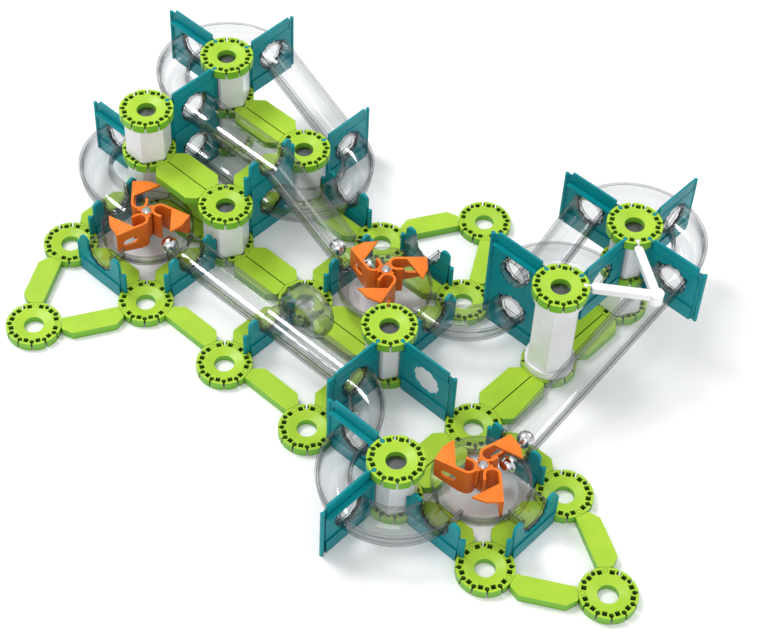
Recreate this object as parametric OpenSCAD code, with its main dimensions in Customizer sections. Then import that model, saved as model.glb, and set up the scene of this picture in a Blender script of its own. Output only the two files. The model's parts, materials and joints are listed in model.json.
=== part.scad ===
// Marble run on a square lattice of slotted hubs, two storeys high.
// Millimetres, +Z up. Origin: table plane under the axis of the centre hub.
// Columns of the lattice run along +X, rows along +Y.

/* [Layout] */
// Distance between neighbouring hub axes
pitch = 80; // [79:0.5:84]
// Height of one storey, hub underside to hub underside
storey = 40; // [40:0.5:44]

/* [Hub] */
// Outside diameter of a hub disc
hub_d = 39; // [38.6:0.1:39.2]
// Thickness of hubs and bars
hub_t = 6.4; // [6:0.1:7]
// Diameter of the centre bore of a hub
hub_bore_d = 14.1; // [13.5:0.1:14.6]
// Depth of the dished face around the bore
hub_dish = 1.6; // [1:0.1:2]

/* [Marbles] */
// Diameter of a steel marble
marble_d = 12.7; // [12:0.1:12.9]

/* [Track] */
// Inside radius of the clear channels
track_in = 9.9; // [9.8:0.1:10]
// Wall thickness of the clear channels
track_wall = 1.5; // [1.2:0.1:1.6]

/* [Hidden] */
$fn = 72;
ref_col = 1;
ref_row = 1;
eps = 0.01;
hub_r = hub_d / 2;
bore_r = hub_bore_d / 2;
ball_r = marble_d / 2;

// slots around a hub
slot_count = 12;
slot_first = 15;
slot_r = 16.8;
key_r = 1.7;
slit_w = 1.3;
pocket_in = 14.2;
pocket_out = 17.6;
pocket_w = 3.4;
dish_r = 13.3;

// beads that slide into the slots
bead_r = 1.5;
neck_w = 1.0;
neck_end = 21;

// half bar outline
bar_w = 16;
bar_gap = 0.4;
bar_shoulder = 10.2;
bar_end = 18;
bar_flat = 24.5;
rim_gap = 0.25;

// wall section, measured across from the lattice line
wall_mid = 5.2;
panel_t = 2.2;
band_t = 4.2;
band_h = 11.7;
tongue_t = 1.6;
tongue_h = 9.4;
groove_t = 2.0;
groove_h = 9.7;
shelf_t = 1.6;
shelf_gap = 0.3;
shelf_drop = 0.1;
wall_end = 19.4;
tongue_from = 20.8;
split_lo = 3.1;
split_hi = 3.3;

// ports
port_z = 25.6;
lobe_count = 10;
lobe_ring = 8.3;
lobe_r = 3.9;
lobe_gap = 0.15;
port_core = 9;
port_reach = lobe_ring + lobe_r;
hump_r = 4.2;
hump_z = 30.6;
low_bead_top = 24;

// clear channels
track_out = track_in + track_wall;
rim_up = 7.2;
lip_w = 1.0;
lip_h = 1.2;
end_gap = 0.2;
mid_gap = 0.1;
ring_t = 1.4;
ring_r = 11.9;
stub_l = 4;
bend_r = pitch / 2;
seat_gap = 0.15;

// trays
tray_r = 33.4;
tray_wall = 1.2;
tray_foot_r = 26;
tray_bottom = 12.6;
tray_floor = 14.2;
tray_shoulder = 18;
tray_rim = 26;
tray_boss_r = 4;
tray_boss_top = 16.4;
arm_start = 32.3;

// rotors
pin_r = 2;
pin_fit = 0.06;
pin_head_r = 3.4;
pin_head_h = 1.6;
pin_head_gap = 0.3;
rotor_low = 16.8;
rotor_top = 39.6;
rotor_sleeve_r = 4.4;
vane_t = 1.8;
vane_offset = 9.6;
vane_end = 29.4;
vane_rise = 4.5;
hook_r = 6;
hook_x = 8;
hook_lip = 4;
flap_t = 1.6;
flap_from = 14;
flap_side = 9;
window_x = 19;
window_z = 28;
window_r = 3.2;
window_len = 5;
web_t = 1.8;
web_drop = 6;
carried_r = 23;
carried_ahead = 125;
carried_behind = -135;

// columns
col_r = 16.8;
col_bore = 11.6;
col_cap = 4.4;
disc_r = 7.4;
disc_h = 2.4;
disc_gap = 0.05;
disc_sink = 0.1;
collar_r = 17.6;
collar_h = 6;

// vertical loop
loop_r = 20.6;
loop_in = 6.2;
loop_w = 19;
loop_skin = 1.3;
loop_x = 25.5;
loop_y = 9;
loop_z = 46;
loop_edge = 7;

// corner brace
brace_w = 6;
brace_h = 4.8;
brace_lift = 0.8;
brace_boss_r = 5;
brace_drop = 2;
brace_tip = 50;
arm_root = 16.4;

lime = [0.68, 0.82, 0.16];
teal = [0.02, 0.52, 0.54];
clear = [0.82, 0.86, 0.88, 0.45];
orange = [0.93, 0.43, 0.10];
white = [0.92, 0.92, 0.93];
steel = [0.75, 0.76, 0.78];
graphite = [0.30, 0.30, 0.33];

open_hubs = [[-1, 0], [-0.5, -sqrt(3) / 2], [0, 0], [1, 0], [2, 0], [1, 1], [1, 2],
             [1.5, 2 + sqrt(3) / 2], [2, 2], [3, 1], [4, 1], [4, 0], [4 + sqrt(3) / 2, 0.5]];
one_storey = [[0, 2], [0, 1], [2, 1], [3, 0]];
two_storey = [[-1, 2], [-1, 1], [3, 3]];
tall_tower = [3, 2];
cell_1 = [-0.5, 0.5];
cell_2 = [1.5, 1.5];
cell_3 = [3.5, 0.5];
rotor_turn_1 = 135;
rotor_turn_2 = 45;
rotor_turn_3 = -45;
arm_long = pitch / 2 + wall_mid - panel_t / 2 - end_gap;
arm_short = pitch / 2 - wall_mid - panel_t / 2 - end_gap;
run_len = pitch - panel_t - 2 * end_gap;
long_len = 2 * pitch - panel_t - 2 * end_gap;
run_from = wall_mid + panel_t / 2 + end_gap;
slope_1 = atan(storey / (run_len - 2 * stub_l));
slope_2 = atan(storey / (long_len - 2 * stub_l));
seat_drop = track_in - ball_r - seat_gap;

function place(p, z) = [(p[0] - ref_col) * pitch, (p[1] - ref_row) * pitch, z];

// ---- hubs ----

module hub() {
  difference() {
    cylinder(r = hub_r, h = hub_t);
    translate([0, 0, -eps])
      cylinder(r = bore_r, h = hub_t + 2 * eps);
    translate([0, 0, hub_t - hub_dish])
      cylinder(r1 = bore_r, r2 = dish_r, h = hub_dish + eps);
    for (k = [0 : slot_count - 1]) {
      rotate([0, 0, slot_first + k * 360 / slot_count]) {
        translate([slot_r, 0, -eps])
          cylinder(r = key_r, h = hub_t + 2 * eps, $fn = 24);
        translate([slot_r, -slit_w / 2, -eps])
          cube([hub_r, slit_w, hub_t + 2 * eps]);
      }
      rotate([0, 0, k * 360 / slot_count])
        translate([pocket_in, -pocket_w / 2, -eps])
          cube([pocket_out - pocket_in, pocket_w, hub_t + 2 * eps]);
    }
  }
}

module hubs_ground() {
  color(lime)
    for (p = open_hubs)
      translate(place(p, 0))
        hub();
}

module hubs_tower_base() {
  color(lime)
    for (p = concat(one_storey, two_storey, [tall_tower]))
      translate(place(p, 0))
        hub();
}

module hubs_middle() {
  color(lime)
    for (p = two_storey)
      translate(place(p, storey))
        hub();
}

module hubs_top() {
  color(lime) {
    for (p = one_storey)
      translate(place(p, storey))
        hub();
    for (p = concat(two_storey, [tall_tower]))
      translate(place(p, 2 * storey))
        hub();
  }
}

// ---- columns ----

module column_body(h) {
  difference() {
    cylinder(r = col_r, h = h, $fn = 6);
    translate([0, 0, -eps])
      cylinder(r = col_bore, h = h - col_cap);
    translate([0, 0, h - disc_h - disc_sink])
      cylinder(r = disc_r + disc_gap, h = disc_h + disc_sink + eps);
  }
}

module bead_notch(a, z, h) {
  rotate([0, 0, a]) {
    translate([slot_r, 0, z])
      cylinder(r = key_r + lobe_gap, h = h, $fn = 24);
    translate([slot_r, -slit_w / 2, z])
      cube([hub_r, slit_w, h]);
  }
}

module columns_short() {
  short_h = storey - hub_t;
  color(white) {
    for (p = concat(one_storey, two_storey))
      translate(place(p, hub_t))
        column_body(short_h);
    for (p = two_storey)
      translate(place(p, storey + hub_t))
        column_body(short_h);
  }
}

module column_tall() {
  tall_h = 2 * storey - hub_t;
  color(white)
    translate(place(tall_tower, hub_t))
      difference() {
        union() {
          column_body(tall_h);
          difference() {
            union() {
              cylinder(r = collar_r, h = collar_h);
              translate([0, 0, tall_h - collar_h])
                cylinder(r = collar_r, h = collar_h);
            }
            translate([0, 0, -eps])
              cylinder(r = col_bore, h = tall_h - col_cap);
            translate([0, 0, tall_h - disc_h - disc_sink])
              cylinder(r = disc_r + disc_gap, h = disc_h + disc_sink + eps);
          }
        }
        bead_notch(slot_first + 60, -eps, tall_h + 2 * eps);
        bead_notch(slot_first + 150, -eps, tall_h + 2 * eps);
      }
}

module core_disc(p, z) {
  translate(place(p, z - disc_h - disc_sink))
    cylinder(r = disc_r, h = disc_h);
}

module core_discs() {
  color(graphite) {
    for (p = one_storey)
      core_disc(p, storey);
    for (p = two_storey) {
      core_disc(p, storey);
      core_disc(p, 2 * storey);
    }
    core_disc(tall_tower, 2 * storey);
  }
}

// ---- beads and bars ----

// bead and neck at the near end, panel side towards +Y
module bead_near(z, h) {
  rotate([0, 0, slot_first]) {
    translate([slot_r, 0, z])
      cylinder(r = bead_r, h = h, $fn = 24);
    translate([slot_r, -neck_w / 2, z])
      cube([neck_end - slot_r, neck_w, h]);
  }
}

module beads(z, h) {
  bead_near(z, h);
  translate([pitch, 0, 0])
    mirror([1, 0, 0])
      bead_near(z, h);
}

module half_bar() {
  difference() {
    linear_extrude(height = hub_t)
      polygon([[bar_end, bar_gap], [pitch - bar_end, bar_gap],
               [pitch - bar_end, bar_shoulder], [pitch - bar_flat, bar_w],
               [bar_flat, bar_w], [bar_end, bar_shoulder]]);
    for (x = [0, pitch])
      translate([x, 0, -eps])
        cylinder(r = hub_r + rim_gap, h = hub_t + 2 * eps);
  }
  beads(0, hub_t);
}

// item: [column, row, heading, side]
module bar_at(item, z) {
  translate(place(item, z))
    rotate([0, 0, item[2]])
      if (item[3] > 0)
        half_bar();
      else
        mirror([0, 1, 0])
          half_bar();
}

module bars_triangles() {
  color(lime)
    for (b = [[-1, 0, -60, -1], [-0.5, -sqrt(3) / 2, 60, -1], [4, 1, -30, 1],
              [4, 0, 30, -1], [1, 2, 60, 1], [2, 2, 120, -1]])
      bar_at(b, 0);
}

module bars_edge() {
  color(lime)
    for (b = [[0, 0, 0, 1], [1, 0, 0, 1]])
      bar_at(b, 0);
}

module bars_beside_walls() {
  color(lime)
    for (b = [[-1, 0, 0, 1], [1, 2, 0, -1], [0, 2, 0, -1], [3, 0, 0, 1], [3, 1, 0, 1],
              [-1, 0, 90, 1], [0, 0, 90, 1], [1, 0, 90, 1], [1, 1, 90, 1], [2, 1, 90, 1],
              [4, 0, 90, 1], [2, 0, 90, 1], [0, 1, 90, 1]])
      bar_at(b, 0);
}

module bars_double_ground() {
  color(lime)
    for (b = [[1, 1, 0], [0, 1, 0], [-1, 1, 0], [3, 0, 90], [3, 1, 90], [3, 2, 90]])
      for (side = [-1, 1])
        bar_at([b[0], b[1], b[2], side], 0);
}

module bars_upper() {
  color(lime) {
    for (b = [[-1, 1, 0], [-1, 2, 0]])
      for (side = [-1, 1])
        bar_at([b[0], b[1], b[2], side], storey);
    bar_at([0, 1, 90, 1], storey);
  }
}

// ---- walls ----

// ten-lobed disc lying across +Y, centred on a port
module lobes(r, len) {
  rotate([-90, 0, 0]) {
    for (k = [0 : lobe_count - 1])
      rotate([0, 0, k * 360 / lobe_count])
        translate([lobe_ring, 0, 0])
          cylinder(r = r, h = len, $fn = 36);
    cylinder(r = port_core, h = len);
  }
}

module port_cut(z) {
  translate([pitch / 2, wall_mid - band_t, z])
    lobes(lobe_r, 2 * band_t);
}

module slab(x0, x1, mid, t, z0, z1) {
  translate([x0, mid - t / 2, z0])
    cube([x1 - x0, t, z1 - z0]);
}

// band along the foot, grooved to take the tongue of a wall below
module foot_band() {
  slab(wall_end, pitch - wall_end, wall_mid, band_t, 0, band_h);
}

module foot_groove() {
  slab(wall_end - 1, pitch - wall_end + 1, wall_mid, groove_t, -eps, groove_h);
}

module shelf(h) {
  top = h - shelf_drop;
  translate([wall_end, shelf_gap, top - shelf_t])
    cube([pitch - 2 * wall_end, wall_mid - shelf_gap, shelf_t]);
}

// full wall: h is the height of the hub it reaches
module full_wall(h, bead_lo, bead_hi, ports) {
  difference() {
    union() {
      foot_band();
      slab(wall_end, pitch - wall_end, wall_mid, panel_t, band_h - eps, h);
      slab(tongue_from, pitch - tongue_from, wall_mid, tongue_t, h - eps, h + tongue_h);
    }
    foot_groove();
    for (z = ports)
      port_cut(z);
  }
  shelf(h);
  beads(bead_lo, bead_hi - bead_lo);
}

module low_wall(bead_lo) {
  difference() {
    union() {
      foot_band();
      slab(wall_end, pitch - wall_end, wall_mid, panel_t, band_h - eps, hump_z);
      for (x = [wall_end + hump_r, pitch - wall_end - hump_r])
        translate([x, wall_mid - panel_t / 2, hump_z])
          rotate([-90, 0, 0])
            cylinder(r = hump_r, h = panel_t);
    }
    foot_groove();
    port_cut(port_z);
    translate([pitch / 2 - port_reach, wall_mid - band_t, port_z])
      cube([2 * port_reach, 2 * band_t, storey]);
  }
  beads(bead_lo, low_bead_top - bead_lo);
}

// item: [column, row, heading, side]
module wall_place(item, z) {
  translate(place(item, z))
    rotate([0, 0, item[2]])
      if (item[3] > 0)
        children();
      else
        mirror([0, 1, 0])
          children();
}

module walls_lower() {
  color(teal) {
    for (w = [[-2, 1, 0, 1], [2, 1, 0, -1], [2, 0, 0, 1],
              [0, 2, 90, -1], [2, 0, 90, -1], [3, -1, 90, 1]])
      wall_place(w, 0)
        full_wall(storey, 0, storey + hub_t, [port_z]);
    for (w = [[0, 1, 90, -1], [-1, 1, 90, -1]])
      wall_place(w, 0)
        full_wall(storey, 0, storey + split_lo, [port_z]);
  }
}

module walls_upper() {
  color(teal) {
    for (w = [[-2, 2, 0, 1], [2, 3, 0, 1], [3, 3, 0, -1],
              [-1, 2, 90, -1], [3, 2, 90, -1], [3, 3, 90, -1]])
      wall_place(w, storey)
        full_wall(storey, 0, storey + hub_t, [port_z]);
    wall_place([-1, 1, 90, -1], storey)
      full_wall(storey, split_hi, storey + hub_t, [port_z]);
  }
}

module wall_tall() {
  color(teal)
    wall_place([2, 2, 0, 1], 0)
      full_wall(2 * storey, 0, 2 * storey + hub_t, [port_z, storey + port_z]);
}

module low_walls_ground() {
  color(teal)
    for (w = [[-1, 0, 0, -1], [1, 2, 0, 1], [0, 2, 0, 1], [3, 0, 0, -1], [3, 1, 0, -1],
              [-1, 0, 90, -1], [0, 0, 90, -1], [1, 0, 90, -1], [1, 1, 90, -1],
              [2, 1, 90, -1], [4, 0, 90, -1]])
      wall_place(w, 0)
        low_wall(0);
}

module low_wall_upper() {
  color(teal)
    wall_place([0, 1, 90, -1], storey)
      low_wall(split_hi);
}

// ---- clear channels ----

// section across a channel: X sideways, Y up, origin on the bore axis
module track_outline() {
  circle(r = track_out);
  translate([-track_out, 0])
    square([2 * track_out, rim_up]);
  translate([-track_out - lip_w, rim_up - lip_h])
    square([2 * track_out + 2 * lip_w, lip_h]);
}

module track_bore() {
  circle(r = track_in);
  translate([-track_in, 0])
    square([2 * track_in, 3 * rim_up]);
}

// extrude a section along +X from the origin
module along_x(len) {
  rotate([90, 0, 90])
    linear_extrude(height = len)
      children();
}

// how far a collar reaches into its port
collar_reach = end_gap + panel_t / 2 - mid_gap;

// end fitting: ring against the wall face, lobed collar in the port; runs along -X from x = 0
module end_fitting(closed) {
  start = -collar_reach - 1;
  span = collar_reach + ring_t + 2;
  difference() {
    union() {
      rotate([0, 90, 0])
        cylinder(r = ring_r, h = ring_t);
      rotate([0, 0, 90])
        lobes(lobe_r - lobe_gap, collar_reach);
    }
    translate([start, 0, 0])
      rotate([0, 90, 0])
        cylinder(r = track_in, h = span);
    if (!closed) {
      translate([start, -2 * track_out, rim_up])
        cube([span, 4 * track_out, storey]);
      translate([start, -track_in, 0])
        cube([span, 2 * track_in, storey]);
    }
  }
}

module straight_run(len, closed_0, closed_1) {
  difference() {
    along_x(len)
      track_outline();
    translate([-1, 0, 0])
      along_x(len + 2)
        track_bore();
  }
  end_fitting(closed_0);
  translate([len, 0, 0])
    mirror([1, 0, 0])
      end_fitting(closed_1);
}

// falls by one storey from x = 0 to x = len
module sloped_run(len, closed_0, closed_1) {
  fall = atan(storey / (len - 2 * stub_l));
  slant = (len - 2 * stub_l) / cos(fall);
  over = 6;
  difference() {
    intersection() {
      union() {
        translate([0, 0, storey])
          along_x(stub_l)
            track_outline();
        translate([stub_l, 0, storey])
          rotate([0, fall, 0])
            translate([-over, 0, 0])
              along_x(slant + 2 * over)
                track_outline();
        translate([len - stub_l, 0, 0])
          along_x(stub_l)
            track_outline();
      }
      translate([0, -pitch / 2, -pitch])
        cube([len, pitch, 3 * pitch]);
    }
    translate([-1, 0, storey])
      along_x(stub_l + 1)
        track_bore();
    translate([stub_l, 0, storey])
      rotate([0, fall, 0])
        translate([-over, 0, 0])
          along_x(slant + 2 * over)
            track_bore();
    translate([len - stub_l, 0, 0])
      along_x(stub_l + 1)
        track_bore();
  }
  translate([0, 0, storey])
    end_fitting(closed_0);
  translate([len, 0, 0])
    mirror([1, 0, 0])
      end_fitting(closed_1);
}

// quarter bend about the origin, from +X round to +Y
// d0, d1: +1 when the wall at that end stands on the bend's side of the lattice line
module bend(d0, d1, closed_0, closed_1) {
  t0 = d0 * wall_mid + panel_t / 2 + end_gap;
  t1 = d1 * wall_mid + panel_t / 2 + end_gap;
  difference() {
    union() {
      rotate_extrude(angle = 90)
        translate([bend_r, 0])
          difference() {
            track_outline();
            track_bore();
          }
      if (d0 < 0)
        translate([bend_r, t0, 0])
          rotate([0, 0, 90])
            along_x(-t0)
              difference() {
                track_outline();
                track_bore();
              }
      if (d1 < 0)
        translate([t1, bend_r, 0])
          along_x(-t1)
            difference() {
              track_outline();
              track_bore();
            }
    }
    if (d0 > 0)
      translate([0, -pitch, -storey])
        cube([2 * pitch, pitch + t0, 2 * storey]);
    if (d1 > 0)
      translate([-pitch, 0, -storey])
        cube([pitch + t1, 2 * pitch, 2 * storey]);
  }
  translate([bend_r, t0, 0])
    rotate([0, 0, 90])
      end_fitting(closed_0);
  translate([t1, bend_r, 0])
    end_fitting(closed_1);
}

module bend_at(p, level, turn, d0, d1, closed_0, closed_1) {
  color(clear)
    translate(place(p, level * storey + port_z))
      rotate([0, 0, turn])
        bend(d0, d1, closed_0, closed_1);
}

module curve_t1_a() {
  bend_at([-1, 2], 1, 180, -1, -1, true, true);
}

module curve_t1_b() {
  bend_at([-1, 2], 1, 90, -1, 1, true, true);
}

module curve_t2_a() {
  bend_at([-1, 1], 0, 90, -1, 1, true, true);
}

module curve_t2_b() {
  bend_at([-1, 1], 0, 180, -1, -1, true, false);
}

module curve_t3_a() {
  bend_at([0, 2], 0, 0, 1, 1, false, true);
}

module curve_t3_b() {
  bend_at([0, 2], 0, 270, 1, -1, true, false);
}

module curve_a5() {
  bend_at([2, 0], 0, 0, 1, 1, true, true);
}

module curve_t8_a() {
  bend_at([3, 0], 0, 180, -1, 1, true, true);
}

module curve_t8_b() {
  bend_at([3, 0], 0, 270, -1, 1, true, false);
}

module curve_a8() {
  bend_at([2, 2], 0, 270, 1, -1, false, true);
}

module curve_t6_a() {
  bend_at([3, 3], 1, 90, -1, 1, true, true);
}

module curve_t6_b() {
  bend_at([3, 3], 1, 0, -1, 1, true, true);
}

module curve_t7() {
  bend_at([3, 2], 1, 90, -1, 1, true, true);
}

// runs between two walls that both stand on the +X side of their lattice lines
module run_at(p, level) {
  color(clear)
    translate(place(p, level * storey + port_z) + [run_from, 0, 0])
      children();
}

module run_t1_t3() {
  run_at([-1, 2.5], 0)
    sloped_run(run_len, true, true);
}

module run_upper() {
  run_at([-1, 1.5], 1)
    straight_run(run_len, true, false);
}

module run_lower() {
  run_at([-1, 1.5], 0)
    straight_run(run_len, true, true);
}

module run_drop() {
  run_at([0, 1.5], 0)
    sloped_run(run_len, false, false);
}

module run_front() {
  run_at([0, 0.5], 0)
    straight_run(run_len, false, false);
}

module run_t6_t7() {
  color(clear)
    translate(place([2.5, 2], port_z) + [0, run_from + run_len, 0])
      rotate([0, 0, -90])
        sloped_run(run_len, true, true);
}

module run_long() {
  color(clear)
    translate(place([3.5, 1], port_z) + [0, long_len - wall_mid + panel_t / 2 + end_gap, 0])
      rotate([0, 0, -90])
        sloped_run(long_len, true, false);
}

// half section of the loop drum around its axis, shrunk all round by inset
function loop_section(inset) =
  let (cx = loop_r - loop_edge, cy = loop_w / 2 - loop_edge, r = loop_edge - inset)
  concat(
    [[loop_in + inset, inset - loop_w / 2]],
    [for (a = [-90 : 18 : 0]) [cx + r * cos(a), -cy + r * sin(a)]],
    [for (a = [0 : 18 : 90]) [cx + r * cos(a), cy + r * sin(a)]],
    [[loop_in + inset, loop_w / 2 - inset]]);

// upright round drum in which the track turns over
module loop_drum(inset) {
  translate([loop_x, loop_y, loop_z - port_z])
    rotate([90, 0, 0])
      rotate_extrude()
        polygon(loop_section(inset));
}

// upright loop standing beside the lane of a straight channel
module clear_loop() {
  color(clear)
    translate(place([1, 0.5], port_z) + [run_from, 0, 0]) {
      difference() {
        union() {
          along_x(run_len)
            track_outline();
          loop_drum(0);
        }
        translate([-1, 0, 0])
          along_x(run_len + 2)
            track_bore_low();
        loop_drum(loop_skin);
      }
      end_fitting(false);
      translate([run_len, 0, 0])
        mirror([1, 0, 0])
          end_fitting(true);
    }
}

module track_bore_low() {
  circle(r = track_in);
  translate([-track_in, 0])
    square([2 * track_in, rim_up + eps]);
}

// brace between the two upper towers: each arm leaves a diagonal slot and bends towards the tip
module brace_arm() {
  rise = pitch / 2 - arm_root;
  reach = brace_tip - arm_root;
  rotate([0, 0, 45]) {
    translate([slot_r, 0, 0])
      cylinder(r = bead_r, h = hub_t, $fn = 24);
    translate([slot_r, -neck_w / 2, 0])
      cube([neck_end - slot_r, neck_w, hub_t]);
  }
  translate([arm_root, arm_root, brace_lift])
    rotate([0, 0, atan2(rise, reach)])
      translate([0, -brace_w / 2, 0])
        cube([norm([rise, reach]), brace_w, brace_h]);
  translate([arm_root, arm_root, brace_lift])
    cylinder(r = brace_w / 2, h = brace_h);
}

module corner_brace() {
  color(clear) {
    translate(place([3, 2], 2 * storey))
      brace_arm();
    translate(place([3, 3], 2 * storey))
      mirror([0, 1, 0])
        brace_arm();
    translate(place([3, 2.5], 2 * storey - brace_drop) + [brace_tip, 0, 0])
      cylinder(r = brace_boss_r, h = hub_t + brace_drop);
  }
}

// ---- trays and rotors ----

module tray_shell() {
  rotate_extrude()
    polygon([[0, tray_bottom], [tray_foot_r, tray_bottom], [tray_r, tray_shoulder],
             [tray_r, tray_rim], [0, tray_rim]]);
}

module tray_hollow() {
  rotate_extrude()
    polygon([[0, tray_floor], [tray_foot_r - 0.6, tray_floor],
             [tray_r - tray_wall, tray_shoulder + 0.6],
             [tray_r - tray_wall, tray_rim + eps], [0, tray_rim + eps]]);
}

// arms: list of [heading, length]
module tray(arms) {
  difference() {
    union() {
      tray_shell();
      for (a = arms)
        rotate([0, 0, a[0]])
          translate([arm_start, 0, port_z])
            along_x(a[1] - arm_start)
              track_outline();
    }
    tray_hollow();
    for (a = arms)
      rotate([0, 0, a[0]])
        translate([arm_start - 6, 0, port_z])
          along_x(a[1] - arm_start + 7)
            track_bore();
    translate([0, 0, tray_bottom - eps])
      cylinder(r = pin_r + pin_fit, h = storey);
  }
  difference() {
    translate([0, 0, tray_floor - eps])
      cylinder(r = tray_boss_r, h = tray_boss_top - tray_floor + eps);
    translate([0, 0, tray_bottom - eps])
      cylinder(r = pin_r + pin_fit, h = storey);
  }
  for (a = arms)
    rotate([0, 0, a[0]])
      translate([a[1], 0, port_z])
        mirror([1, 0, 0])
          end_fitting(false);
}

module tray_1() {
  color(clear)
    translate(place(cell_1, 0))
      tray([[180, arm_short], [270, arm_long], [0, arm_long]]);
}

module tray_2() {
  color(clear)
    translate(place(cell_2, 0))
      tray([[180, arm_short], [90, arm_long], [0, arm_long]]);
}

module tray_3() {
  color(clear)
    translate(place(cell_3, 0))
      tray([[90, arm_short], [270, arm_long], [0, arm_long]]);
}

module rotor_pins() {
  head_z = rotor_top + pin_head_gap;
  color(steel)
    for (p = [cell_1, cell_2, cell_3])
      translate(place(p, 0)) {
        translate([0, 0, tray_bottom])
          cylinder(r = pin_r, h = head_z - tray_bottom);
        translate([0, 0, head_z])
          cylinder(r1 = pin_head_r, r2 = pin_r, h = pin_head_h);
      }
}

// upright vane that ends in a hooked pocket beside the sleeve
module vane() {
  back = vane_offset + vane_t;
  difference() {
    union() {
      translate([hook_x, vane_offset, rotor_low])
        cube([vane_end - hook_x, vane_t, rotor_top - rotor_low]);
      translate([hook_x, back - hook_r, rotor_low])
        rotate_extrude(angle = 180, start = 90)
          translate([hook_r - vane_t, 0])
            square([vane_t, rotor_top - rotor_low]);
      translate([hook_x, back - 2 * hook_r, rotor_low])
        cube([hook_lip, vane_t, rotor_top - rotor_low]);
    }
    translate([0, 0, rotor_low])
      rotate([90, 0, 0])
        translate([0, 0, -2 * back])
          linear_extrude(height = 4 * back)
            polygon([[hook_x, -1], [vane_end + 1, -1], [vane_end + 1, vane_rise + 1]]);
    for (x = [-window_len / 2, window_len / 2])
      translate([window_x + x, vane_offset - 1, window_z])
        rotate([-90, 0, 0])
          cylinder(r = window_r, h = vane_t + 2);
    translate([window_x - window_len / 2, vane_offset - 1, window_z - window_r])
      cube([window_len, vane_t + 2, 2 * window_r]);
  }
}

module flap() {
  translate([0, 0, rotor_top - flap_t])
    linear_extrude(height = flap_t)
      polygon([[flap_from, vane_offset + vane_t], [vane_end, vane_offset + vane_t],
               [vane_end, 0], [vane_end - 4, -flap_side]]);
}

// web that ties a pocket to the sleeve
module web() {
  translate([0, vane_offset + vane_t - hook_r - web_t / 2, rotor_low + web_drop])
    cube([hook_x - hook_r + web_t, web_t, rotor_top - rotor_low - web_drop]);
}

module rotor() {
  difference() {
    union() {
      translate([0, 0, rotor_low])
        cylinder(r = rotor_sleeve_r, h = rotor_top - rotor_low);
      for (k = [0 : 2])
        rotate([0, 0, 120 * k]) {
          vane();
          flap();
          web();
        }
    }
    translate([0, 0, rotor_low - eps])
      cylinder(r = pin_r + pin_fit, h = storey);
  }
}

module rotor_1() {
  color(orange)
    translate(place(cell_1, 0))
      rotate([0, 0, rotor_turn_1])
        rotor();
}

module rotor_2() {
  color(orange)
    translate(place(cell_2, 0))
      rotate([0, 0, rotor_turn_2])
        rotor();
}

module rotor_3() {
  color(orange)
    translate(place(cell_3, 0))
      rotate([0, 0, rotor_turn_3])
        rotor();
}

// ---- marbles ----

module marble(at) {
  color(steel)
    translate(at)
      sphere(r = ball_r);
}

// marble in a tray, carried round in front of a vane
module carried_marble(cell, a) {
  marble(place(cell, tray_floor + ball_r + seat_gap) + [carried_r * cos(a), carried_r * sin(a), 0]);
}

module marble_rotor_1() {
  carried_marble(cell_1, rotor_turn_1 + carried_behind);
}

module marble_rotor_2() {
  carried_marble(cell_2, rotor_turn_2 + carried_ahead);
}

module marble_rotor_3() {
  carried_marble(cell_3, rotor_turn_3 + carried_ahead);
}

// resting point on a falling channel, d before its lower end plane
function on_slope(d, fall) = [-d - seat_drop * sin(fall), 0,
                              (d - stub_l) * tan(fall) - seat_drop * cos(fall)];

module marble_drop() {
  lower_end = place([0, 1.5], port_z) + [run_from + run_len, 0, 0];
  marble(lower_end + on_slope(9, slope_1));
}

module marble_long() {
  lower_end = place([3.5, 1], port_z) + [0, -wall_mid + panel_t / 2 + end_gap, 0];
  s = on_slope(8, slope_2);
  marble(lower_end + [0, -s[0], s[2]]);
}

hubs_ground();
hubs_tower_base();
hubs_middle();
hubs_top();
columns_short();
column_tall();
core_discs();
bars_triangles();
bars_edge();
bars_beside_walls();
bars_double_ground();
bars_upper();
walls_lower();
walls_upper();
wall_tall();
low_walls_ground();
low_wall_upper();
curve_t1_a();
curve_t1_b();
curve_t2_a();
curve_t2_b();
curve_t3_a();
curve_t3_b();
curve_a5();
curve_t8_a();
curve_t8_b();
curve_a8();
curve_t6_a();
curve_t6_b();
curve_t7();
run_t1_t3();
run_upper();
run_lower();
run_drop();
run_front();
run_t6_t7();
run_long();
clear_loop();
corner_brace();
tray_1();
tray_2();
tray_3();
rotor_pins();
rotor_1();
rotor_2();
rotor_3();
marble_rotor_1();
marble_rotor_2();
marble_rotor_3();
marble_drop();
marble_long();
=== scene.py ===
"""Looks of the marble run: materials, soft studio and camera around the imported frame. Metres."""

import json
import math

import bpy
from mathutils import Matrix, Vector


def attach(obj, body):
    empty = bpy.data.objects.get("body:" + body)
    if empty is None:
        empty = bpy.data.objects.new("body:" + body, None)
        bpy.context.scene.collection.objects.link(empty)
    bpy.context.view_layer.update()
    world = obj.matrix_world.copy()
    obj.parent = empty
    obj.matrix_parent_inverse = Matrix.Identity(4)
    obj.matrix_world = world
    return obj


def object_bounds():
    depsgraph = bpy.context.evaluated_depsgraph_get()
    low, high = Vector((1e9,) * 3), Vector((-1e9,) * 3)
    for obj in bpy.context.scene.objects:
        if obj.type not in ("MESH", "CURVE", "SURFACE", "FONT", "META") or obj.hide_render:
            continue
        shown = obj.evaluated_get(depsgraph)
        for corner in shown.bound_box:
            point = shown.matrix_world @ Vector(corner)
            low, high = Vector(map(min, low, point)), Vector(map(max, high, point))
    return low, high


MM = 0.001

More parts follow.
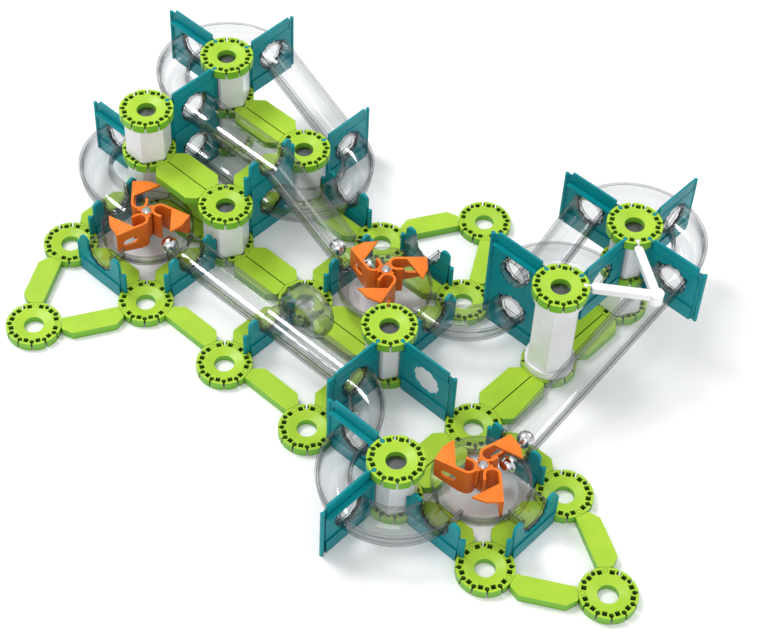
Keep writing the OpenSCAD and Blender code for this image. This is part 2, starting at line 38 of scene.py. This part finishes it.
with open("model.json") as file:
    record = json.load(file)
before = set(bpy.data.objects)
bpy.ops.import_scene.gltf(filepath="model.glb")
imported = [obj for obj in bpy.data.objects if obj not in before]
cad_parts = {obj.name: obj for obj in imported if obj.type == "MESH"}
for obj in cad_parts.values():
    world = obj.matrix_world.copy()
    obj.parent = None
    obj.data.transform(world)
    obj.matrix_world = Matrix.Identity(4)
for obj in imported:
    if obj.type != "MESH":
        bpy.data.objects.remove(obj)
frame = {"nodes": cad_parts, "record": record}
cad_low, cad_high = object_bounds()


# ---- shader helpers ----

def new_material(name):
    """An empty node material, its tree and its output node."""
    mat = bpy.data.materials.new(name)
    mat.use_nodes = True
    tree = mat.node_tree
    tree.nodes.clear()
    out = tree.nodes.new("ShaderNodeOutputMaterial")
    return mat, tree, out


def object_coords(tree):
    return tree.nodes.new("ShaderNodeTexCoord").outputs["Object"]


def noise(tree, coords, scale, detail=3.0, rough=0.5, stretch=None):
    """A noise value in object space; stretch scales the three axes."""
    if stretch:
        mapping = tree.nodes.new("ShaderNodeMapping")
        mapping.inputs["Scale"].default_value = stretch
        tree.links.new(coords, mapping.inputs["Vector"])
        coords = mapping.outputs["Vector"]
    node = tree.nodes.new("ShaderNodeTexNoise")
    node.inputs["Scale"].default_value = scale
    node.inputs["Detail"].default_value = detail
    node.inputs["Roughness"].default_value = rough
    tree.links.new(coords, node.inputs["Vector"])
    return node.outputs["Fac"]


def remap(tree, value, low, high, from_low=0.3, from_high=0.7):
    node = tree.nodes.new("ShaderNodeMapRange")
    node.inputs["From Min"].default_value = from_low
    node.inputs["From Max"].default_value = from_high
    node.inputs["To Min"].default_value = low
    node.inputs["To Max"].default_value = high
    tree.links.new(value, node.inputs["Value"])
    return node.outputs["Result"]


def mix_colour(tree, fac, dark, light):
    node = tree.nodes.new("ShaderNodeMix")
    node.data_type = "RGBA"
    node.inputs["A"].default_value = (*dark, 1)
    node.inputs["B"].default_value = (*light, 1)
    tree.links.new(fac, node.inputs["Factor"])
    return node.outputs["Result"]


def bump(tree, height, strength, distance):
    node = tree.nodes.new("ShaderNodeBump")
    node.inputs["Strength"].default_value = strength
    node.inputs["Distance"].default_value = distance
    tree.links.new(height, node.inputs["Height"])
    return node.outputs["Normal"]


# ---- materials ----

def painted_crevice_shade(tree, reach, floor):
    """Painted shade mask from ambient occlusion: falls from 1 in the open to floor far into slots
    and corners.
    """
    node = tree.nodes.new("ShaderNodeAmbientOcclusion")
    node.samples = 8
    node.inputs["Distance"].default_value = reach
    return remap(tree, node.outputs["AO"], floor, 1.0, 0.12, 0.72)


def upward(tree):
    """1 on faces that look up, 0 on upright ones; the mask for the painted shade on upright faces.
    """
    split = tree.nodes.new("ShaderNodeSeparateXYZ")
    tree.links.new(tree.nodes.new("ShaderNodeNewGeometry").outputs["Normal"], split.inputs["Vector"])
    return remap(tree, split.outputs["Z"], 0.0, 1.0, 0.05, 0.85)


def moulded_plastic(name, dark, light, rough, coat=0.1, gloss=0.35,
                    shade_reach=0.004, slot_shade_tone=0.25, painted_side_shade=None):
    """Opaque moulded plastic: faint flow marks, fine eggshell texture, uneven gloss, painted shade
    in slots and corners, and painted shade on upright faces when a darker colour for them is given.
    """
    mat, tree, out = new_material(name)
    coords = object_coords(tree)
    flow = noise(tree, coords, 45, 2, 0.5)
    grain = noise(tree, coords, 2600, 2, 0.6)
    smear = noise(tree, coords, 120, 4, 0.55)
    shader = tree.nodes.new("ShaderNodeBsdfPrincipled")
    colour = mix_colour(tree, remap(tree, flow, 0, 1), dark, light)
    # painted shade: upright faces get a darker colour for the shade that falls on them
    if painted_side_shade:
        upright = mix_colour(tree, upward(tree), painted_side_shade, light)
        upright_shaded_colour = tree.nodes.new("ShaderNodeMix")
        upright_shaded_colour.data_type = "RGBA"
        tree.links.new(upward(tree), upright_shaded_colour.inputs["Factor"])
        tree.links.new(upright, upright_shaded_colour.inputs["A"])
        tree.links.new(colour, upright_shaded_colour.inputs["B"])
        colour = upright_shaded_colour.outputs["Result"]
    # painted shade: a near-black copy of the dark colour, laid into slots and corners by the
    # occlusion mask
    painted_slot_shade = [c * slot_shade_tone * 0.5 for c in dark]
    shaded = tree.nodes.new("ShaderNodeMix")
    shaded.data_type = "RGBA"
    shaded.inputs["A"].default_value = (*painted_slot_shade, 1)
    tree.links.new(painted_crevice_shade(tree, shade_reach, 0.0), shaded.inputs["Factor"])
    tree.links.new(colour, shaded.inputs["B"])
    tree.links.new(shaded.outputs["Result"], shader.inputs["Base Color"])
    tree.links.new(remap(tree, smear, rough - 0.07, rough + 0.08), shader.inputs["Roughness"])
    tree.links.new(bump(tree, grain, 0.10, 0.00006), shader.inputs["Normal"])
    shader.inputs["Coat Weight"].default_value = coat
    shader.inputs["Coat Roughness"].default_value = 0.18
    shader.inputs["IOR"].default_value = 1.5
    shader.inputs["Specular IOR Level"].default_value = gloss
    tree.links.new(shader.outputs["BSDF"], out.inputs["Surface"])
    return mat


def painted_edge_line(tree, radius=0.0008):
    """Mask for painted dark lines: 1 in a thin line along every sharp edge, 0 elsewhere."""
    rounded = tree.nodes.new("ShaderNodeBevel")
    rounded.samples = 4
    rounded.inputs["Radius"].default_value = radius
    true = tree.nodes.new("ShaderNodeNewGeometry")
    dot = tree.nodes.new("ShaderNodeVectorMath")
    dot.operation = "DOT_PRODUCT"
    tree.links.new(rounded.outputs["Normal"], dot.inputs[0])
    tree.links.new(true.outputs["Normal"], dot.inputs[1])
    return remap(tree, dot.outputs["Value"], 1.0, 0.0, 0.80, 0.99)


def clear_plastic(name, tint, edge):
    """Clear plastic wall seen as a thin shell: see-through face on, shinier edge on and darkened
    edge on by painted shade, with painted dark lines along its edges.

    The share of shine depends on the facing angle alone, the same on both sides of a face.
    """
    mat, tree, out = new_material(name)
    coords = object_coords(tree)
    ripple = noise(tree, coords, 150, 2, 0.5)
    normal = bump(tree, ripple, 0.08, 0.0003)
    facing = tree.nodes.new("ShaderNodeLayerWeight")
    facing.inputs["Blend"].default_value = 0.5
    tree.links.new(normal, facing.inputs["Normal"])
    through = tree.nodes.new("ShaderNodeBsdfTransparent")
    # painted shade: the see-through colour darkens towards grazing angles
    rim = tree.nodes.new("ShaderNodeValToRGB")
    stops = rim.color_ramp.elements
    stops[0].position = 0.0
    stops[0].color = (*tint, 1)
    stops[1].position = 1.0
    stops[1].color = (*edge, 1)
    for position, share in ((0.3, 0.03), (0.55, 0.16), (0.75, 0.5)):
        stop = stops.new(position)
        stop.color = (*[t + (e - t) * share for t, e in zip(tint, edge)], 1)
    tree.links.new(facing.outputs["Facing"], rim.inputs["Fac"])
    # painted shade: dark lines laid along the sharp edges
    painted_line_colour = tree.nodes.new("ShaderNodeMix")
    painted_line_colour.data_type = "RGBA"
    painted_line_colour.inputs["B"].default_value = (*[c * 0.2 for c in edge], 1)
    tree.links.new(painted_edge_line(tree), painted_line_colour.inputs["Factor"])
    tree.links.new(rim.outputs["Color"], painted_line_colour.inputs["A"])
    tree.links.new(painted_line_colour.outputs["Result"], through.inputs["Color"])
    shine = tree.nodes.new("ShaderNodeBsdfGlossy")
    shine.inputs["Color"].default_value = (1, 1, 1, 1)
    tree.links.new(remap(tree, noise(tree, coords, 90), 0.03, 0.10), shine.inputs["Roughness"])
    tree.links.new(normal, shine.inputs["Normal"])
    steep = tree.nodes.new("ShaderNodeMath")
    steep.operation = "POWER"
    steep.inputs[1].default_value = 4.0
    tree.links.new(facing.outputs["Facing"], steep.inputs[0])
    mix = tree.nodes.new("ShaderNodeMixShader")
    tree.links.new(remap(tree, steep.outputs["Value"], 0.07, 0.6, 0.0, 1.0), mix.inputs["Fac"])
    tree.links.new(through.outputs["BSDF"], mix.inputs[1])
    tree.links.new(shine.outputs["BSDF"], mix.inputs[2])
    tree.links.new(mix.outputs["Shader"], out.inputs["Surface"])
    return mat


def polished_steel(name, colour, rough, scratch=0.0):
    """Steel with fine scratches; scratch 0 is a polished ball."""
    mat, tree, out = new_material(name)
    coords = object_coords(tree)
    haze = noise(tree, coords, 300, 4, 0.6)
    shader = tree.nodes.new("ShaderNodeBsdfPrincipled")
    shader.inputs["Metallic"].default_value = 1
    tone = mix_colour(tree, remap(tree, haze, 0, 1), [c * 0.86 for c in colour], colour)
    tree.links.new(tone, shader.inputs["Base Color"])
    tree.links.new(remap(tree, haze, rough * 0.6, rough * 1.5), shader.inputs["Roughness"])
    if scratch:
        lines = noise(tree, coords, 900, 2, 0.5, (1, 0.06, 1))
        tree.links.new(bump(tree, lines, scratch, 0.00008), shader.inputs["Normal"])
    tree.links.new(shader.outputs["BSDF"], out.inputs["Surface"])
    return mat


# the darker colours for upright faces on lime and orange are painted shade
LIME = moulded_plastic("lime_plastic", (0.335, 0.565, 0.024), (0.40, 0.63, 0.03), 0.42,
                       painted_side_shade=(0.17, 0.45, 0.025))
TEAL = moulded_plastic("teal_plastic", (0.0, 0.215, 0.25), (0.0, 0.265, 0.30), 0.38,
                       coat=0.05, gloss=0.2, shade_reach=0.003)
WHITE = moulded_plastic("white_plastic", (0.78, 0.78, 0.80), (0.86, 0.86, 0.875), 0.22,
                        coat=0.4, gloss=0.5, shade_reach=0.003, slot_shade_tone=0.8)
ORANGE = moulded_plastic("orange_plastic", (0.80, 0.16, 0.008), (0.92, 0.235, 0.025), 0.38,
                         gloss=0.3, slot_shade_tone=0.8, painted_side_shade=(0.66, 0.13, 0.012))
# the second colour is painted shade for edge-on faces and the dark edge lines
CLEAR = clear_plastic("clear_plastic", (0.935, 0.938, 0.942), (0.13, 0.135, 0.15))
FROSTED = moulded_plastic("frosted_white_plastic", (0.80, 0.81, 0.83), (0.92, 0.925, 0.94), 0.25,
                          coat=0.5, gloss=0.5, shade_reach=0.003, slot_shade_tone=0.9)
GREY = polished_steel("grey_disc", (0.16, 0.16, 0.17), 0.42, 0.3)
STEEL = polished_steel("pin_steel", (0.62, 0.62, 0.64), 0.25, 0.3)
CHROME = polished_steel("marble_steel", (0.86, 0.86, 0.88), 0.05)

BY_SLOT = {
    "hub_green": LIME,
    "bar_green": LIME,
    "wall_teal": TEAL,
    "column_white": WHITE,
    "rotor_orange": ORANGE,
    "clear_plastic": CLEAR,
    "disc_grey": GREY,
    "pin_steel": STEEL,
    "marble_steel": CHROME,
}


BY_NODE = {"corner_brace": FROSTED}
FINE_SLOTS = ("clear_plastic", "disc_grey", "pin_steel")
EDGE = 0.0004
FINE_EDGE = 0.00025


def soften(node, width):
    """Rounds the sharp edges of a CAD node a little, or shades a marble smooth."""
    if node.name.startswith("marble"):
        node.data.polygons.foreach_set("use_smooth", [True] * len(node.data.polygons))
        return
    bevel = node.modifiers.new("edge", "BEVEL")
    bevel.width = width
    bevel.segments = 2
    bevel.limit_method = "ANGLE"
    bevel.angle_limit = math.radians(40)
    bevel.harden_normals = False


def dress_cad():
    """Gives every CAD node its material and slightly rounded edges."""
    for part in frame["record"]["subparts"]:
        node = frame["nodes"][part["node"]]
        node.data.materials.clear()
        node.data.materials.append(BY_NODE.get(part["node"], BY_SLOT[part["material_slot"]]))
        soften(node, FINE_EDGE if part["material_slot"] in FINE_SLOTS else EDGE)


# ---- clear ends that stand out of free ports ----

LOBES = 10
STUB_OUT = 4.5 * MM
STUB_IN = 9.95 * MM


def stub_outline(a):
    """Radius of the ten-lobed collar at angle a."""
    return (11.0 + 0.9 * math.cos(LOBES * a)) * MM


def add_stub(name, centre, normal):
    """A short lobed clear collar standing out of a wall port along normal."""
    steps = LOBES * 12
    mesh = bpy.data.meshes.new(name)
    verts, faces = [], []
    for depth in (0.0, STUB_OUT):
        for ring in ("out", "in"):
            for k in range(steps):
                a = 2 * math.pi * k / steps
                r = stub_outline(a) if ring == "out" else STUB_IN
                verts.append((r * math.cos(a), r * math.sin(a), depth))
    for k in range(steps):
        m = (k + 1) % steps
        low_out, low_in, top_out, top_in = 0, steps, 2 * steps, 3 * steps
        faces.append((low_out + k, low_out + m, top_out + m, top_out + k))
        faces.append((low_in + m, low_in + k, top_in + k, top_in + m))
        faces.append((top_out + k, top_out + m, top_in + m, top_in + k))
        faces.append((low_out + m, low_out + k, low_in + k, low_in + m))
    mesh.from_pydata(verts, [], faces)
    mesh.materials.append(CLEAR)
    stub = bpy.data.objects.new(name, mesh)
    bpy.context.scene.collection.objects.link(stub)
    stub.rotation_euler = Vector(normal).to_track_quat("Z", "Y").to_euler()
    stub.location = Vector(centre) * MM
    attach(stub, "frame")


def add_stubs():
    """Port centres in millimetres on the free face of their walls."""
    add_stub("stub_tall_wall", (120, 84.0, 65.6), (0, -1, 0))


# ---- studio ----

def floor_material():
    mat, tree, out = new_material("studio_floor")
    coords = object_coords(tree)
    shader = tree.nodes.new("ShaderNodeBsdfPrincipled")
    patches = remap(tree, noise(tree, coords, 6), 0, 1)
    tone = mix_colour(tree, patches, (0.93, 0.93, 0.935), (0.95, 0.95, 0.955))
    tree.links.new(tone, shader.inputs["Base Color"])
    shader.inputs["Roughness"].default_value = 0.6
    shader.inputs["Specular IOR Level"].default_value = 0.2
    tree.links.new(shader.outputs["BSDF"], out.inputs["Surface"])
    return mat


FLOOR_SIZE = 12.0


def add_floor():
    bpy.ops.mesh.primitive_plane_add(size=FLOOR_SIZE, location=(0, 0, cad_low.z))
    floor = bpy.context.object
    floor.name = "floor"
    floor.data.materials.append(floor_material())


def add_area(name, place, target, size, power, colour=(1, 1, 1)):
    light = bpy.data.lights.new(name, "AREA")
    light.size = size
    light.energy = power
    light.color = colour
    lamp = bpy.data.objects.new(name, light)
    lamp.location = place
    lamp.rotation_euler = (Vector(target) - Vector(place)).to_track_quat("-Z", "Y").to_euler()
    bpy.context.scene.collection.objects.link(lamp)


def light_studio():
    centre = (cad_low + cad_high) / 2
    world = bpy.data.worlds.new("studio")
    world.use_nodes = True
    back = world.node_tree.nodes["Background"]
    back.inputs["Color"].default_value = (1, 1, 1, 1)
    back.inputs["Strength"].default_value = 0.75
    bpy.context.scene.world = world
    add_area("key", centre + Vector((-1.6, -0.2, 2.4)), centre, 1.0, 42)
    add_area("fill", centre + Vector((1.2, -1.8, 1.6)), centre, 1.6, 12)
    add_area("rim", centre + Vector((0.4, 2.0, 1.4)), centre, 1.2, 10)


CAMERA_AZIMUTH = 40.39
CAMERA_ELEVATION = 49.72
CAMERA_ROLL = 3.31
CAMERA_PLACE = (0.6306, -0.6533, 1.0588)
CAMERA_LENS = 91.28


def add_camera():
    data = bpy.data.cameras.new("camera")
    data.lens = CAMERA_LENS
    data.clip_start = 0.01
    camera = bpy.data.objects.new("camera", data)
    turn = Matrix.Rotation(math.radians(CAMERA_AZIMUTH), 4, "Z")
    tilt = Matrix.Rotation(math.radians(90 - CAMERA_ELEVATION), 4, "X")
    roll = Matrix.Rotation(math.radians(CAMERA_ROLL), 4, "Z")
    camera.matrix_world = Matrix.Translation(CAMERA_PLACE) @ turn @ tilt @ roll
    bpy.context.scene.collection.objects.link(camera)
    bpy.context.scene.camera = camera


dress_cad()
add_stubs()
add_floor()
light_studio()
add_camera()
bpy.context.scene.view_settings.view_transform = "Standard"
